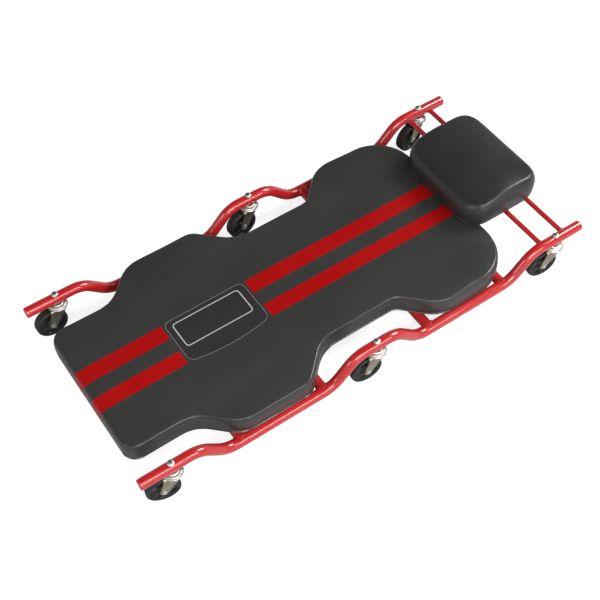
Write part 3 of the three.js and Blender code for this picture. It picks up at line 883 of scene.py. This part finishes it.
def fork_mesh():
    """One strip of sheet metal bent down on both sides of the wheel."""
    leg, crown, bend, thick = 10.6, 63.7, 3.6, 2.2
    tip, tip_radius = Vector((TRAIL, AXLE_Z)), 7.5
    low = tip.y - tip_radius + 0.15
    path = round_path([(-leg, low, 0), (-leg, crown, bend), (leg, crown, bend), (leg, low, 0)],
                      closed=False, step=12)
    down_leg = np.linspace(0, 1, 22, endpoint=False) ** 1.6
    stops = [path[0] + (path[1] - path[0]) * t for t in down_leg]
    stops += path[1:-1]
    stops += [Vector((-p.x, p.y)) for p in reversed(stops[:len(down_leg)])]

    def edge(start_x, side, z):
        """The leg's outline at a height: straight from the shoulder, then round the tip."""
        start = Vector((start_x, 60))
        away = start - tip
        bearing = math.atan2(away.y, away.x) + side * math.acos(tip_radius / away.length)
        touch = tip + Vector((math.cos(bearing), math.sin(bearing))) * tip_radius
        if z > 60:
            return start_x
        if z > touch.y:
            return start.x + (touch.x - start.x) * (60 - z) / (60 - touch.y)
        return tip.x - side * math.sqrt(max(0.0, tip_radius ** 2 - (z - tip.y) ** 2))

    rows = []
    for p in stops:
        back = edge(-10, 1, p.y)
        if p.y > crown - bend:
            back = -math.sqrt(15 ** 2 - min(abs(p.x), 11.2) ** 2)
        front = edge(19, -1, p.y)
        rows.append([(back + (front - back) * t, p.x, p.y) for t in np.linspace(0, 1, 11)])
    sheet = Shape().add(grid(rows, wrap=False, cap=False)).mesh("fork", DULL_ZINC)
    sheet = with_modifiers(sheet, ("SOLIDIFY", {"thickness": thick * MM, "offset": 0}),
                           ("BEVEL", {"width": 0.45 * MM, "segments": 2, "limit_method": "ANGLE",
                                      "angle_limit": math.radians(50)}))
    soften(sheet, 40)
    return sheet


def axle_mesh():
    """A bolt through the hub: hex head on one side, a nut with a round collar on the other."""
    def hexed(angle, radius, height):
        return (min(radius, hexagon(angle, 8.0)), height)

    made = Shape()
    upright = Matrix.Rotation(math.pi / 2, 4, "X")
    made.add(lathe([(3, -12.4), (3, 12.4)], 24), upright)
    made.add(lathe([(2, 12.0), (4.9, 12.0), (5.0, 12.15), (4.9, 12.45), (2, 12.45)], 36), upright)
    made.add(lathe([(2, -12.45), (4.9, -12.45), (5.0, -12.15), (4.9, -12.0), (2, -12.0)], 36),
             upright)
    made.add(lathe([(3.9, 12.4), (4.62, 12.5), (4.62, 13.5), (4.1, 13.85), (3.6, 14.0),
                    (0.3, 13.95)], 48, hexed), upright)
    made.add(lathe([(3.9, -12.4), (4.62, -12.5), (4.62, -13.3), (4.1, -13.5), (3.5, -13.9),
                    (2.6, -14.0), (2.4, -13.7), (0.3, -13.75)], 48, hexed), upright)
    return made.mesh("axle_pin", BRIGHT_ZINC)


def wheel_mesh():
    """A tyre on a moulded core with five pockets in each face."""
    w, r = WHEEL_HALF_WIDTH, WHEEL_RADIUS
    tread = round_path([(r - 3.3, -w + 0.15, 0), (r - 1.3, -w + 0.6, 1.6),
                        (r - 0.12, -w + 3.0, 3.5), (r, 0, 30), (r - 0.12, w - 3.0, 3.5),
                        (r - 1.3, w - 0.6, 1.6), (r - 3.3, w - 0.15, 0)], closed=False, step=9)
    side = [(r - 4.1, w - 0.25), (r - 4.5, w - 0.9), (r - 4.9, w - 0.9), (24.2, w - 1.0)]
    tyre = [(a, -b) for a, b in reversed(side)] + [(p.x, p.y) for p in tread] + side

    def pockets(angle, radius, height):
        if not 10.5 < radius < 22.5:
            return radius, height
        wave = max(0.0, min(1.0, 0.5 + 1.6 * math.cos(5 * angle)))
        return radius, height - math.copysign(1.9 * wave, height)

    core_half = [(24.2, w - 1.0), (23.4, w - 1.2), (22.6, w - 2.0), (22.0, w - 2.4),
                 (16, w - 2.4), (11, w - 2.4), (10.2, w - 1.6), (9.2, w - 0.2), (8.6, w),
                 (4.2, w), (3.6, w - 0.5)]
    near_core = [(a, -b) for a, b in reversed(core_half)]
    bore = [(3.6, -w + 0.5), (3.6, w - 0.5)]
    lie = Matrix.Rotation(math.pi / 2, 4, "X")
    made = Shape()
    for profile, number, change in (
            (tyre, 0, None), (near_core, 1, pockets), (core_half, 1, pockets), (bore, 1, None)):
        rows, faces = lathe(profile, 96, change)
        made.add((rows, faces[:-2]), lie, number)
    return made.mesh("wheel", TYRE, HUB, sharp=50)


bolt, cup, balls, fork, axle, wheel = (
    stem_bolt_mesh(), cup_mesh(), balls_mesh(), fork_mesh(), axle_mesh(), wheel_mesh())
for station, (x, y, heading) in STATIONS.items():
    stem = Matrix.Translation(Vector((x, y, 0)) * MM)
    swivel = stem @ Matrix.Rotation(math.radians(heading), 4, "Z")
    hub = swivel @ Matrix.Translation(Vector((TRAIL, 0, AXLE_Z)) * MM)
    for name, mesh, body, slot_name, node, matrix in (
            ("bolt", bolt, "frame", "bright_zinc", "stem_bolt", stem),
            ("cup", cup, "frame", "bright_zinc", "swivel_cup", stem),
            ("balls", balls, f"fork_{station}", "ball_steel", "ball_ring", swivel),
            ("caster_fork", fork, f"fork_{station}", "dull_zinc", "fork", swivel),
            ("axle", axle, f"fork_{station}", "bright_zinc", "axle_pin", hub),
            ("caster_wheel", wheel, f"wheel_{station}", "wheel_rubber", "wheel", hub)):
        place(f"{name}_{station}", mesh, body, slot_name, f"{node}_{station}", matrix=matrix)

# ---------------------------------------------------------------- floor, light and camera

floor_mesh = bpy.data.meshes.new("floor")
floor_mesh.from_pydata([(-12, -12, 0), (12, -12, 0), (12, 12, 0), (-12, 12, 0)], [], [(0, 1, 2, 3)])
pale = Shader("pale_floor")
# shows as white as the photo's background without lighting the object from below
seen = pale.node("ShaderNodeLightPath").outputs["Is Camera Ray"]
floor_mesh.materials.append(pale.finish(
    Base_Color=pale.mix(pale.noise(3), (0.54, 0.54, 0.54), (0.58, 0.58, 0.58)), Roughness=0.9,
    Specular_IOR_Level=0.1, Emission_Color=(1.0, 1.0, 1.0),
    Emission_Strength=pale.math("MULTIPLY", seen, 0.75)))
floor = bpy.data.objects.new("floor", floor_mesh)
bpy.context.scene.collection.objects.link(floor)

world = bpy.data.worlds.new("studio")
world.use_nodes = True
bpy.context.scene.world = world
sky = world.node_tree
up = sky.nodes.new("ShaderNodeSeparateXYZ")
sky.links.new(sky.nodes.new("ShaderNodeTexCoord").outputs["Generated"], up.inputs[0])
fade = sky.nodes.new("ShaderNodeMapRange")
horizon, overhead, bright, dark = 0.05, 0.55, 0.7, 0.03
for socket, value in zip(fade.inputs[1:], (horizon, overhead, bright, dark)):
    socket.default_value = value
sky.links.new(up.outputs[2], fade.inputs[0])
sky.links.new(fade.outputs[0], sky.nodes["Background"].inputs["Strength"])
sky.nodes["Background"].inputs["Color"].default_value = (1, 1, 1, 1)


def soft_light(name, location, target, width, height, watts):
    data = bpy.data.lights.new(name, "AREA")
    data.shape, data.size, data.size_y, data.energy = "RECTANGLE", width, height, watts
    lamp = bpy.data.objects.new(name, data)
    lamp.location = location
    lamp.rotation_euler = (Vector(target) - Vector(location)).to_track_quat("-Z", "Y").to_euler()
    bpy.context.scene.collection.objects.link(lamp)


soft_light("near_side_light", (0.1, -2.2, 1.9), (0, 0, 0), 2.8, 0.4, 54)
soft_light("low_strip_light", (0, -3.0, 0.75), (0, 0, 0), 3.2, 0.12, 9)
soft_light("foot_end_light", (-2.4, -0.2, 1.7), (0, 0, 0), 1.6, 0.8, 16)
soft_light("head_end_light", (2.3, -0.4, 2.1), (0, 0, 0), 1.1, 1.1, 58)
soft_light("behind_camera_light", (-1.5, -2.4, 3.6), (0, 0, 0), 2.4, 2.4, 56)

camera = bpy.data.objects.new("camera", bpy.data.cameras.new("camera"))
camera.data.lens, camera.data.sensor_width = 65.04, 36
camera.location = (-0.66296, -0.98377, 1.60019)
camera.rotation_euler = [math.radians(a) for a in (36.34, 0.90, -34.34)]
bpy.context.scene.collection.objects.link(camera)
bpy.context.scene.camera = camera
bpy.context.scene.view_settings.view_transform = "Standard"
